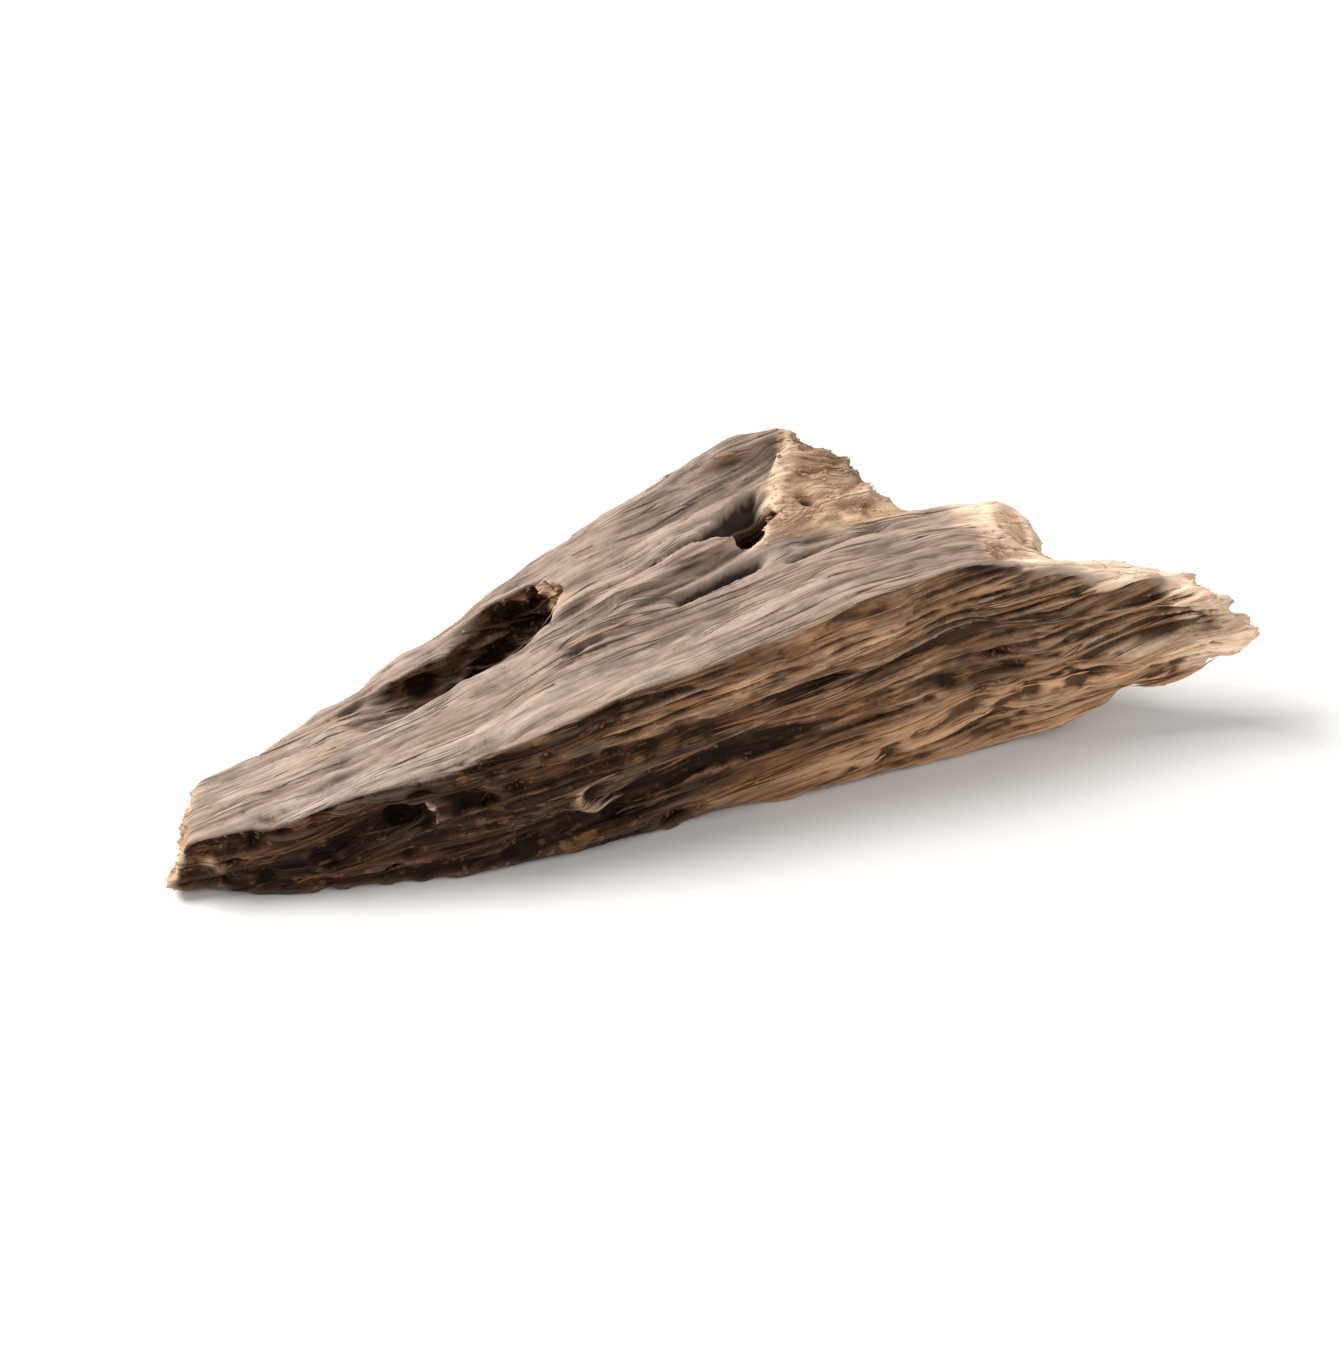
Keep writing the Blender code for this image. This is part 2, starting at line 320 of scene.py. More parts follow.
def cracks(place, length, width, seed, thin=0.03, most=0.42):
    """1 along thin lines that open and close as they follow the fibres."""
    line = maths("ABSOLUTE", noise(place, length, width, seed, detail=1.5) - 0.5)
    opening = ramp(noise(place, length * 0.4, width * 3, seed + 3), most, most + CRACK_GAPS)
    return ramp(line, 0, thin, 1, 0) * opening


# %% [markdown]
# ## Shader groups that every finish shares
#
# All the finishes are the same wood, so they share node groups. The first finds where the streaks lie
# along the fibres, and the second stains them with three colours. The others mark hair cracks and pores,
# and give the height of the finest fibres for a bump. All read the fibre coordinates that are stored on
# each piece, so colour and relief line up.

# %% Groups and how they are used
def shader_group(name, inputs, outputs):
    """A shader node group with those sockets, and a wire for each input."""
    tree = bpy.data.node_groups.new(name, "ShaderNodeTree")
    for direction, sockets in (("INPUT", inputs), ("OUTPUT", outputs)):
        for socket, kind in sockets.items():
            tree.interface.new_socket(socket, in_out=direction, socket_type="NodeSocket" + kind)
    entry = tree.nodes.new("NodeGroupInput")
    return tree, [Wire(s) for s in entry.outputs if s.name]


def close_group(tree, result):
    leave = node(tree, "NodeGroupOutput")
    tree.links.new(result.socket, leave.inputs[0])
    lay_out(tree)
    return tree


def mixed(share, a, b):
    """Colour a where share is 0, and b where it is 1."""
    facts = {0: share, 6: a, 7: b}
    return Wire(node(tree_of(share, a, b), "ShaderNodeMix", facts, data_type="RGBA").outputs[2])


def use_group(tree, group, **inputs):
    made = node(tree, "ShaderNodeGroup", node_tree=group)
    for name, value in inputs.items():
        if isinstance(value, Wire):
            tree.links.new(value.socket, made.inputs[name])
        else:
            made.inputs[name].default_value = value
    return Wire(made.outputs[0])


# %% Streaks and the stain
ON_SKIN = {"Place": "Vector", "Upward": "Float"}
BROAD_STREAKS, STREAKS_BETWEEN, FINE_STREAKS = (22, 1.9, 61.5), (9, 0.62, 67.5), (5, 0.17, 71.5)
DARK_TO_MIDDLE, MIDDLE_TO_PALE = (0.36, 0.50), (0.49, 0.63)


def make_streaks():
    tree, (place, upward) = shader_group("wood_streaks", ON_SKIN, {"Mask": "Float"})

    def pattern(at):
        broad = noise(at, *BROAD_STREAKS, detail=2) * 0.42 + noise(at, *STREAKS_BETWEEN, detail=2) * 0.34
        return broad + noise(at, *FINE_STREAKS, detail=0) * 0.24

    return close_group(tree, over_skin(pattern, place, upward))


def make_stain():
    inputs = {"Mask": "Float", "Pale": "Color", "Middle": "Color", "Dark": "Color"}
    tree, (mask, pale, middle, dark) = shader_group("wood_stain", inputs, {"Colour": "Color"})
    lower = mixed(ramp(mask, *DARK_TO_MIDDLE), dark, middle)
    return close_group(tree, mixed(ramp(mask, *MIDDLE_TO_PALE), lower, pale))


# %% Hair cracks, pores and fine fibres
LONG_HAIRS, SHORT_HAIRS = (26, 0.9, 75.5), (15, 0.4, 79.5)
PORE, PORE_PATCHES = (1.9, 0.30, 83.5), (6, 0.9, 87.5)
FIBRES, FINEST_FIBRES = (12, 0.32, 91.5), (6, 0.1, 97.5)


def make_hair_cracks():
    tree, (place, upward) = shader_group("hair_cracks", ON_SKIN, {"Mask": "Float"})

    def pattern(at):
        long_cracks = cracks(at, *LONG_HAIRS, thin=0.022, most=0.46)
        return maths("MAXIMUM", long_cracks, cracks(at, *SHORT_HAIRS, thin=0.03, most=0.5))

    return close_group(tree, over_skin(pattern, place, upward))


def make_pores():
    tree, (place, width) = shader_group("pores", {"Place": "Vector", "Width": "Float"}, {"Mask": "Float"})
    distance = Wire(voronoi(place, *PORE).outputs["Distance"])
    present = ramp(noise(place, *PORE_PATCHES), 0.48, 0.56)
    return close_group(tree, ramp(distance, width * 0.5, width, 1, 0) * present)


def make_fine_fibres():
    tree, (place, upward) = shader_group("fine_fibres", ON_SKIN, {"Height": "Float"})

    def pattern(at):
        return noise(at, *FIBRES, detail=1) * 0.5 + noise(at, *FINEST_FIBRES, detail=1) * 0.5

    return close_group(tree, over_skin(pattern, place, upward))


STREAKS, STAIN, HAIR_CRACKS = make_streaks(), make_stain(), make_hair_cracks()
PORES, FINE_FIBRES = make_pores(), make_fine_fibres()
print("shader groups so far:", ", ".join(g.name for g in bpy.data.node_groups))

# %% [markdown]
# ## The colours of the wood
#
# The top faced the air and is silvery tan. The front was inside the log: it is dark with resin on the
# left, where it also rotted almost black, and fades to tan on the right. The lower lip and the broken
# ends are fresher, and the thin tip and the round end of the middle band are cream. One painted image
# could hold all that, but would blur close up and need a map. Here each is one set of three streaked
# colours, and masks stored on the mesh decide which one shows.

# %% Sets of three colours
SILVER = {"Pale": (0.440, 0.362, 0.312), "Middle": (0.350, 0.268, 0.218), "Dark": (0.215, 0.154, 0.120)}
RESIN = {"Pale": (0.24, 0.12, 0.056), "Middle": (0.088, 0.038, 0.018), "Dark": (0.024, 0.010, 0.006)}
FADED = {"Pale": (0.52, 0.33, 0.205), "Middle": (0.34, 0.195, 0.112), "Dark": (0.135, 0.072, 0.042)}
LIP = {"Pale": (0.68, 0.40, 0.22), "Middle": (0.48, 0.26, 0.13), "Dark": (0.17, 0.083, 0.043)}
TORN = {"Pale": (0.80, 0.55, 0.37), "Middle": (0.60, 0.39, 0.245), "Dark": (0.27, 0.16, 0.097)}
CREAM = {"Pale": (1.0, 0.81, 0.62), "Middle": (0.96, 0.70, 0.50), "Dark": (0.62, 0.40, 0.25)}
ROT = {"Pale": (0.095, 0.041, 0.020), "Middle": (0.032, 0.013, 0.007), "Dark": (0.011, 0.005, 0.003)}
# The second colour is the near black of pores and hair cracks. It is also laid on as painted shade in
# hollows, dents, the notch and the grooves between fibres.
GOLD, CRACK_BLACK_AND_SHADE = (0.24, 0.118, 0.042, 1), (0.012, 0.007, 0.005, 1)
DISC_BROWN, WORN_EDGE = (0.58, 0.33, 0.19, 1), (0.66, 0.51, 0.39, 1)


def stained(mask, colours):
    return use_group(mask.tree, STAIN, Mask=mask, **{n: (*c, 1) for n, c in colours.items()})


# %% The wood under the bleached skin
PATCHES, MOTTLE = (4.4, 1.6, 103.5), (2.6, 1.1, 113.5)
ROT_SPECKS, FAN_LINES = (1.3, 0.6, 107.5), (70, 0.55, 111.5)


def rot_colour(streaks, place):
    """Nearly black wood with golden specks where it crumbled."""
    specks = noise(place, *ROT_SPECKS, detail=2, rough=0.6)
    return mixed(ramp(specks, 0.56, 0.63) * 0.55, stained(streaks, ROT), GOLD)


def inner_colour(mask, place, upward, streaks):
    """Resin that fades to tan, with golden and black patches and a pale lip."""
    colour = mixed(mask["faded"] * 0.85, stained(streaks, RESIN), stained(streaks, FADED))
    patch = noise(place, *PATCHES, detail=4, rough=0.6) + (streaks - 0.5) * 0.35
    mottle = noise(place, *MOTTLE, detail=4, rough=0.62) + (streaks - 0.5) * 0.2
    colour = mixed(ramp(patch, 0.56, 0.63) * 0.55, colour, GOLD)
    colour = mixed(ramp(mottle, 0.55, 0.61) * 0.55, colour, stained(streaks, LIP))
    black = maths("MAXIMUM", ramp(mottle, 0.38, 0.44, 1, 0) * 0.75, ramp(patch, 0.40, 0.46, 1, 0) * 0.6)
    colour = mixed(black * (1 - mask["faded"] * 0.3), colour, stained(streaks, ROT))
    colour = mixed(mask["pale_lip"] * 0.85, colour, stained(streaks, LIP))
    colour = mixed(mask["rotted"] * 0.92, colour, rot_colour(streaks, place))
    lines = over_skin(lambda at: noise(at, *FAN_LINES, detail=1), place, upward)
    return mixed(ramp(lines, 0.49, 0.56) * mask["dark_fan"] * 0.5, colour, (*RESIN["Dark"], 1))


# %% The group that lays the colours over each other
SKIN_MASKS = {
    "Faded": "faded", "Pale lip": "pale_lip", "Rotted": "rotted", "Dark fan": "dark_fan",
    "Bleached": "bleached", "Broken": "broken", "Cream": "cream", "Disc": "disc", "Flake": "flake",
}
SMUDGES, FLECKS = (3, 1.6, 117.5), (2.8, 0.8, 121.5)


def make_weathered():
    """The inner wood, bleached where it faced the air and fresher where it broke."""
    inputs = {**ON_SKIN, **dict.fromkeys(SKIN_MASKS, "Float")}
    tree, (place, upward, *wires) = shader_group("weathered_wood", inputs, {"Colour": "Color"})
    mask = dict(zip(SKIN_MASKS.values(), wires))
    streaks = use_group(tree, STREAKS, Place=place, Upward=upward)
    colour = inner_colour(mask, place, upward, streaks)
    for name, colours in {"bleached": SILVER, "broken": TORN, "cream": CREAM}.items():
        colour = mixed(mask[name] * 0.95, colour, stained(streaks, colours))
    smudges = ramp(noise(place, *SMUDGES, detail=4, rough=0.6), 0.38, 0.48, 1, 0)
    colour = mixed(smudges * mask["broken"] * 0.35, colour, stained(streaks, FADED))
    colour = mixed(mask["disc"] * 0.6, colour, DISC_BROWN)
    colour = mixed(mask["flake"] * 0.8, colour, stained(streaks, TORN))
    flecks = over_skin(lambda at: noise(at, *FLECKS, detail=5, rough=0.68), place, upward)
    return close_group(tree, scaled(colour, ramp(flecks, 0.36, 0.64, 0.78, 1.3)))


WEATHERED = make_weathered()
print("shader groups:", ", ".join(g.name for g in bpy.data.node_groups))

# %% [markdown]
# ## The finishes
#
# The skin adds hair cracks, pores, painted shade in its hollows, dents and finest grooves, and paler worn
# edges to those colours. It is matt, with a slight shine where resin shows between the fibres. Splinters
# and crumbs are the same wood, a little fresher because they tore loose later, with a little painted shade.

# %% What every finish needs
SHINE = 0.12           # polished wood would have 0.5


def new_material(name):
    material = bpy.data.materials.new(name)
    material.use_nodes = True
    tree = material.node_tree
    shader = tree.nodes["Principled BSDF"]
    shader.inputs["Specular IOR Level"].default_value = SHINE
    return material, tree, shader


def join(wire, socket):
    wire.tree.links.new(wire.socket, socket)


def read(tree, name, output="Fac"):
    """An attribute that is stored on the mesh."""
    made = node(tree, "ShaderNodeAttribute", attribute_name=name)
    return Wire(made.outputs[output])


def weathered(tree, place, upward):
    masks = {socket: read(tree, name) for socket, name in SKIN_MASKS.items()}
    return use_group(tree, WEATHERED, Place=place, Upward=upward, **masks)


def bumped(height, depth):
    """The skin's normal with that height, of that depth in millimetres, pressed into it."""
    made = node(height.tree, "ShaderNodeBump", {"Height": height, "Distance": depth * MM, "Strength": 1.0})
    return Wire(made.outputs[0])


# %% The skin
PORE_WIDTH, SKIN_BUMP = 0.28, 0.16     # a share of the pores' pattern, and mm
ROUGHNESS_RANGE = (0.60, 0.86)         # from shiny resin to dry fibres


def make_skin():
    material, tree, shader = new_material("weathered_agarwood")
    place, upward = read(tree, "fibre_mm", "Vector"), read(tree, "upward")
    hairs = use_group(tree, HAIR_CRACKS, Place=place, Upward=upward)
    pores = use_group(tree, PORES, Place=place, Width=PORE_WIDTH)
    fibres = use_group(tree, FINE_FIBRES, Place=place, Upward=upward)
    # How strongly pores, hair cracks and painted shade darken the skin: less on the bleached top.
    shade_and_crack_strength = 0.8 - read(tree, "bleached") * 0.42
    rubbed = read(tree, "worn") * (0.3 - read(tree, "rotted") * 0.22)
    colour = mixed(rubbed, weathered(tree, place, upward), WORN_EDGE)
    # Painted shade in the low grooves between the finest fibres.
    colour = mixed(ramp(fibres, 0.38, 0.5, 0.45, 0) * shade_and_crack_strength, colour, CRACK_BLACK_AND_SHADE)
    colour = mixed(maths("MAXIMUM", pores * 0.4, hairs) * shade_and_crack_strength, colour, CRACK_BLACK_AND_SHADE)
    # Painted shade, nearly black, in the skin's hollows, its dents and the notch.
    hollow_and_painted_shade = maths("MAXIMUM", read(tree, "hollow_and_painted_shade") * shade_and_crack_strength, read(tree, "dent_and_painted_shade") * 0.85)
    join(mixed(hollow_and_painted_shade, colour, CRACK_BLACK_AND_SHADE), shader.inputs["Base Color"])
    join(bumped(fibres - pores * 0.4 - hairs * 0.8, SKIN_BUMP), shader.inputs["Normal"])
    join(ramp(fibres, 0.35, 0.65, *ROUGHNESS_RANGE), shader.inputs["Roughness"])
    lay_out(tree)
    return material


SKIN = make_skin()

# %% Loose wood
LOOSE_BUMP, LOOSE_ROUGHNESS = 0.08, 0.8   # mm, and a share


def make_loose_finish(name, fresh, share):
    """The skin's colours with up to that share of fresher wood, for pieces that tore loose."""
    material, tree, shader = new_material(name)
    place, upward = read(tree, "fibre_mm", "Vector"), read(tree, "upward")
    streaks = use_group(tree, STREAKS, Place=place, Upward=upward)
    sound = (1 - read(tree, "rotted") * 0.8) * share
    colour = mixed(sound, weathered(tree, place, upward), stained(streaks, fresh))
    # Painted shade where the piece lies in a hollow of the wood.
    join(mixed(read(tree, "hollow_and_painted_shade") * 0.4, colour, CRACK_BLACK_AND_SHADE), shader.inputs["Base Color"])
    fibres = use_group(tree, FINE_FIBRES, Place=place, Upward=upward)
    join(bumped(fibres, LOOSE_BUMP), shader.inputs["Normal"])
    shader.inputs["Roughness"].default_value = LOOSE_ROUGHNESS
    lay_out(tree)
    return material


LOOSE_FIBRE = make_loose_finish("loose_fibre", LIP, 0.35)
TORN_FIBRE = make_loose_finish("torn_fibre", TORN, 0.5)
CRUMBLED = make_loose_finish("crumbled_wood", FADED, 0.25)
print("materials:", ", ".join(m.name for m in bpy.data.materials))

# %% [markdown]
# ## Geometry Nodes trees and how they become plain meshes
#
# A tree is made with named inputs, so that each depth and size can be tried in the modifier's panel. The
# modifier's values are set by socket identifier, because that is how a modifier stores them. Once a piece
# is right, its evaluated mesh is kept and the modifier goes.

# %% A tree with named inputs
def geometry_tree(name, sizes):
    """A tree with a geometry input and output and one named number for each size."""
    tree = bpy.data.node_groups.new(name, "GeometryNodeTree")
    tree.interface.new_socket("Geometry", in_out="INPUT", socket_type="NodeSocketGeometry")
    tree.interface.new_socket("Geometry", in_out="OUTPUT", socket_type="NodeSocketGeometry")
    for size, value in sizes.items():
        kind = "NodeSocketInt" if isinstance(value, int) else "NodeSocketFloat"
        tree.interface.new_socket(size, in_out="INPUT", socket_type=kind).default_value = value
    entry = tree.nodes.new("NodeGroupInput")
    return tree, {s.name: Wire(s) for s in entry.outputs if s.name}


def here(tree):
    return Wire(node(tree, "GeometryNodeInputPosition").outputs[0])


def moved_to(geometry, position):
    facts = {"Geometry": geometry, "Position": position}
    return Wire(node(geometry.tree, "GeometryNodeSetPosition", facts).outputs[0])


def above_floor(geometry):
    """Lifts whatever reaches below the surface that the chip lies on."""
    x, y, z = split_vector(here(geometry.tree))
    return moved_to(geometry, join_vector(x, y, maths("MAXIMUM", z, 0.0)))


def finish_tree(geometry, material):
    """Ends the tree in plain geometry of that material."""
    tree = geometry.tree
    real = node(tree, "GeometryNodeRealizeInstances", {"Geometry": above_floor(geometry)})
    facts = {"Geometry": Wire(real.outputs[0]), "Material": material}
    painted = node(tree, "GeometryNodeSetMaterial", facts)
    leave = node(tree, "NodeGroupOutput")
    tree.links.new(painted.outputs[0], leave.inputs[0])
    lay_out(tree)
    return tree


# %% From a tree to a plain mesh
def add_tree(obj, tree):
    """Puts the tree on obj, and sets its inputs, by identifier, to their named values."""
    modifier = obj.modifiers.new(tree.name, "NODES")
    modifier.node_group = tree
    for item in tree.interface.items_tree:
        if item.in_out == "INPUT" and item.socket_type != "NodeSocketGeometry":
            modifier[item.identifier] = item.default_value


def freeze(obj):
    """Keeps the evaluated mesh as obj's own, and removes the modifiers."""
    graph = bpy.context.evaluated_depsgraph_get()
    mesh = bpy.data.meshes.new_from_object(obj.evaluated_get(graph), depsgraph=graph)
    obj.modifiers.clear()
    obj.data = mesh
    triangles = sum(len(p.vertices) - 2 for p in mesh.polygons)
    print(f"{obj.name}: {triangles} triangles")


# %% Attributes and the skin's normal
def attribute(tree, name, kind="FLOAT"):
    made = node(tree, "GeometryNodeInputNamedAttribute", {"Name": name}, data_type=kind)
    return Wire(made.outputs["Attribute"])


def store(geometry, name, value, kind="FLOAT"):
    facts = {"Geometry": geometry, "Name": name, "Value": value}
    made = node(geometry.tree, "GeometryNodeStoreNamedAttribute", facts, data_type=kind, domain="POINT")
    return Wire(made.outputs["Geometry"])


def blurred(vector, times):
    facts = {"Value": vector, "Iterations": times}
    made = node(vector.tree, "GeometryNodeBlurAttribute", facts, data_type="FLOAT_VECTOR")
    return Wire(made.outputs["Value"])


def skin_normal(tree, blur):
    return blurred(Wire(node(tree, "GeometryNodeInputNormal").outputs[0]), blur)


def moved(geometry, offset):
    made = node(geometry.tree, "GeometryNodeSetPosition", {"Geometry": geometry, "Offset": offset})
    return Wire(made.outputs["Geometry"])


# %% [markdown]
# ## A smooth, dense blank
#
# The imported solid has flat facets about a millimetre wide, and no room for fibres between its points.
# The chip could be sculpted anew, but the solid already has its outline. So a copy of it is merged,
# smoothed by subdivision and then remeshed in small even cells. The remesh runs on a copy that is squeezed
# along X, so that the cells come out long along the fibres and narrow across them, which spends the
# points where the relief needs them.

# %% The blank
SQUEEZE = 2.5
CELL = 0.149 * MM      # width of a cell across the fibres
MERGE = 1e-7           # m, how close two points of the solid's loose triangles have to be


def add_piece(name, bm):
    mesh = bpy.data.meshes.new(name)
    bm.to_mesh(mesh)
    bm.free()
    piece = bpy.data.objects.new(name, mesh)
    bpy.context.scene.collection.objects.link(piece)
    return piece


def squeeze(obj, by):
    for v in obj.data.vertices:
        v.co.x *= by


def make_blank():
    bm = bmesh.new()
    bm.from_mesh(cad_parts[CHIP].data)
    bmesh.ops.remove_doubles(bm, verts=bm.verts, dist=MERGE)
    blank = add_piece("chip_wood", bm)
    round_off = blank.modifiers.new("round_off", "SUBSURF")
    round_off.levels = round_off.render_levels = 1
    freeze(blank)
    squeeze(blank, 1 / SQUEEZE)
    remesh = blank.modifiers.new("cells", "REMESH")
    remesh.mode, remesh.voxel_size = "VOXEL", CELL
    freeze(blank)
    squeeze(blank, SQUEEZE)
    return blank


chip = make_blank()

# %% [markdown]
# ## Where each kind of surface lies
#
# The broken ends are where the skin faces along the fibres, and the bleached top is where it faces up.
# Both are read from normals that are first blurred, so that ledges don't fleck them. The other masks
# follow the chip's own landmarks, in millimetres: the torn facet on the high back corner, the seam and
# notch at the foot of the high block, the round end of the middle band, the pale lower lip, the dark fan
# of fibres towards the tip, and the rot low on the left.

# %% Landmarks
FACET_CORNER = (5.7, 2.2)              # x, y of the torn facet's left corner
FACET_SLANT = 0.78                     # how far its left edge moves along X for each step along Y
SEAM_START, SEAM_CLIMB = (-1.9, 0.2), 0.13
NOTCH_POINT, NOTCH_LENGTH = (0.2, 1.3), 4.8
NOTCH_CLIMB, NOTCH_WIDTH = 0.2, 0.85
BAND_END = (21.7, -1.3, 12.5)          # the middle of the round end of the middle band
DISC, DISC_REACH = (21.5, -1.8, 13.3), 1.45   # the brown heart of its end grain, and its radius
SLITS = (                              # x, y of both ends of each dark slit, and half its width
    ((8.2, 3.0), (9.9, 1.3), 0.34),
    ((-1.6, -0.8), (5.4, -0.1), 0.24),
    ((6.0, -0.9), (13.4, -0.1), 0.20),
)
SLIT_DEPTH = 0.45                      # as a share of the notch's depth
FLAKE, FLAKE_REACH = (-8.3, 4.2), 2.0  # x, z of a pale curled flake on the front, and its half size
POCKET, POCKET_REACH = (-13.2, 3.4, 9.2), (7.5, 3.0, 3.4)   # the rot pocket in the top, and its half sizes
LIP_START, LIP_CLIMB = (5, 3.6), 0.19  # x, z of the pale lip's upper edge, and how it climbs
RIDGE_START, RIDGE_CLIMB = (-14.8, 9.3), 0.185   # the same for the ridge over the front
print("slits, mm long:", [round(math.dist(start, end), 1) for start, end, _ in SLITS])


# %% Masks round the facet, the notch and the slits
def off_line(along, across, start, climb):
    """How far beyond a line that starts there and climbs so, mm."""
    return across - (along - start[0]) * climb - start[1]


def right_of_edge(x, y, ragged):
    """How far right of the facet's slanting left edge a point lies, mm."""
    return x - (y - FACET_CORNER[1]) * FACET_SLANT - FACET_CORNER[0] + ragged * 1.6


def facet_mask(x, y, z, ragged):
    inside = ramp(right_of_edge(x, y, ragged), -0.2, 0.3) * ramp(y, 0.2, 0.7)
    return inside * ramp(x, 14.5, 16.5, 1, 0) * ramp(z, 9, 11)


def notch_mask(x, y, z, ragged):
    """1 along the notch's middle line. It opens from a point to its full width."""
    share = ramp(x, NOTCH_POINT[0], NOTCH_POINT[0] + NOTCH_LENGTH)
    half = share * NOTCH_WIDTH + 0.12
    off = maths("ABSOLUTE", off_line(x, y, NOTCH_POINT, NOTCH_CLIMB) + ragged * 0.5)
    opened = ramp(share, 0.02, 0.4) * ramp(x, 5.4, 5.9, 1, 0)
    return ramp(off, half * 0.6, half, 1, 0) * opened * ramp(z, 9, 11)


def slit_mask(x, y, z, ragged, start, end, half):
    """1 along a line on the top, that wavers a little."""
    reach = Vector(end) - Vector(start)
    way = reach.normalized()
    right, back = x - start[0], y - start[1] + ragged * 0.8
    along = right * way.x + back * way.y
    off = maths("ABSOLUTE", back * way.x - right * way.y)
    inside = ramp(along, 0, 1) * ramp(along, reach.length - 1, reach.length, 1, 0)
    return ramp(off, half * 0.5, half, 1, 0) * inside * ramp(z, 9, 11)


# %% Masks round the flake, the pocket, the ridge and the seam
def flake_mask(x, z, ragged):
    """1 on a crescent: inside one circle and outside another that lies up and to the right of it."""
    def gap(shift):
        right, up = x - FLAKE[0] - shift, z - FLAKE[1] - shift
        return maths("SQRT", right * right + up * up) + ragged * 0.5

    inside = ramp(gap(0.0), FLAKE_REACH - 0.15, FLAKE_REACH, 1, 0)
    return inside * ramp(gap(0.6), FLAKE_REACH - 0.15, FLAKE_REACH)


def from_point(position, point):
    """The distance from a landmark, mm."""
    return vector_maths("DISTANCE", scaled(position, 1 / MM), point)


def pocket_mask(position, ragged):
    gap = vector_maths("SUBTRACT", scaled(position, 1 / MM), POCKET)
    reach = vector_maths("DIVIDE", gap, POCKET_REACH)
    return ramp(vector_maths("LENGTH", reach) + ragged * 0.5, 0.85, 1.15, 1, 0)


def under_ridge(x, y, z):
    """1 on the front's ledges, which face up like the top but never saw the air."""
    below = ramp(off_line(x, z, RIDGE_START, RIDGE_CLIMB), -1.8, -0.8, 1, 0)
    return below * ramp(y, -4.2, -3.2, 1, 0) * ramp(x, 12, 18, 1, 0)


def seam_mask(x, y, z):
    off = maths("ABSOLUTE", off_line(x, y, SEAM_START, SEAM_CLIMB))
    return ramp(off, 0.8, 3.0, 1, 0) * ramp(x, -14, -7) * ramp(x, 8, 12, 1, 0) * ramp(z, 7, 9)


# %% Masks of the broken ends
BLUR, LEDGE_BLUR, DENT_BLUR = 14, 60, 120   # how many times a value is averaged with its neighbours'
RAGGED = (7, 1.2, 4.2)                      # the pattern that frays the edge of every mask


def depth_below(position, normal, times):
    """How far a point lies below its blurred neighbourhood, mm."""
    gap = vector_maths("SUBTRACT", blurred(position, times), position)
    return vector_maths("DOT_PRODUCT", gap, normal) * (1 / MM)


def end_masks(geometry, normal, position, ragged):
    """Stores the broken ends, the cream parts of them and the heart of the band's end."""
    x, y, z = split_vector(scaled(position, 1 / MM))
    along = maths("ABSOLUTE", vector_maths("DOT_PRODUCT", normal, tuple(GRAIN)))
    facet = facet_mask(x, y, z, ragged)
    geometry = store(geometry, "facet", facet)
    broken = maths("MAXIMUM", ramp(along + ragged * 0.35, 0.42, 0.66), facet)
    geometry = store(geometry, "broken", broken)
    away = from_point(position, BAND_END)
    geometry = store(geometry, "knob", ramp(away, 1.2, 3.2, 1, 0))
    gap = from_point(position, DISC) + ragged * 0.7
    geometry = store(geometry, "disc", ramp(gap, DISC_REACH - 0.3, DISC_REACH, 1, 0))
    knob = ramp(away + ragged * 3, 3.2, 5.2, 1, 0) * ramp(z + ragged, 10.5, 11.5)
    tip = ramp(x + ragged * 5, 29.0, 31.0) * ramp(z, 4.0, 6.5)
    facet_rim = facet * ramp(right_of_edge(x, y, ragged), 0.7, 1.5, 1, 0) * 0.7
    top_rim = ramp(x + ragged * 4, 22.5, 24.5) * ramp(split_vector(normal)[2], 0.5, 0.75) * 0.8
    cream = maths("MAXIMUM", maths("MAXIMUM", knob, tip), maths("MAXIMUM", facet_rim, top_rim))
    return store(geometry, "cream", cream)


# %% Masks of the top and the front
def side_masks(geometry, normal, position, ragged):
    """Stores the bleached top, and the faded, rotted, pale and fanned parts of the front."""
    x, y, z = split_vector(scaled(position, 1 / MM))
    _, breadth, up = split_vector(normal)
    flatness = maths("ABSOLUTE", up) - maths("ABSOLUTE", breadth)
    geometry = store(geometry, "upward", ramp(flatness, -0.3, 0.3))
    pocket = pocket_mask(position, ragged) * ramp(depth_below(position, normal, DENT_BLUR), -0.05, 0.2)
    geometry = store(geometry, "pocket", pocket)
    bleached = ramp(up + breadth * 0.25 + ragged * 0.3, 0.3, 0.5) * (1 - under_ridge(x, y, z) * 0.85)
    geometry = store(geometry, "bleached", bleached * (1 - pocket))
    front = ramp(breadth * -1, 0.1, 0.5)
    geometry = store(geometry, "faded", ramp(x + z * 1.3 + ragged * 20, 2, 28))
    left = ramp(x + z * 0.9 + ragged * 22, -9, 9, 1, 0)
    spots = ramp(maths("ABSOLUTE", x - 17) + maths("ABSOLUTE", z - 7) * 1.6 + ragged * 8, 2.5, 5, 1, 0)
    rotted = maths("MAXIMUM", maths("MAXIMUM", left, spots * 0.6) * front, pocket)
    geometry = store(geometry, "rotted", rotted)
    over_lip = off_line(x, z, LIP_START, LIP_CLIMB) + ragged * 3
    geometry = store(geometry, "pale_lip", ramp(over_lip, -1.3, 0.9, 1, 0) * ramp(x, -8, 4) * front)
    fan = ramp(over_lip, -0.3, 1.2) * ramp(x + ragged * 5, 15, 20) * ramp(x, 30, 32, 1, 0)
    geometry = store(geometry, "dark_fan", fan * front)
    geometry = store(geometry, "flake", flake_mask(x, z, ragged) * front)
    return store(geometry, "seam", seam_mask(x, y, z))


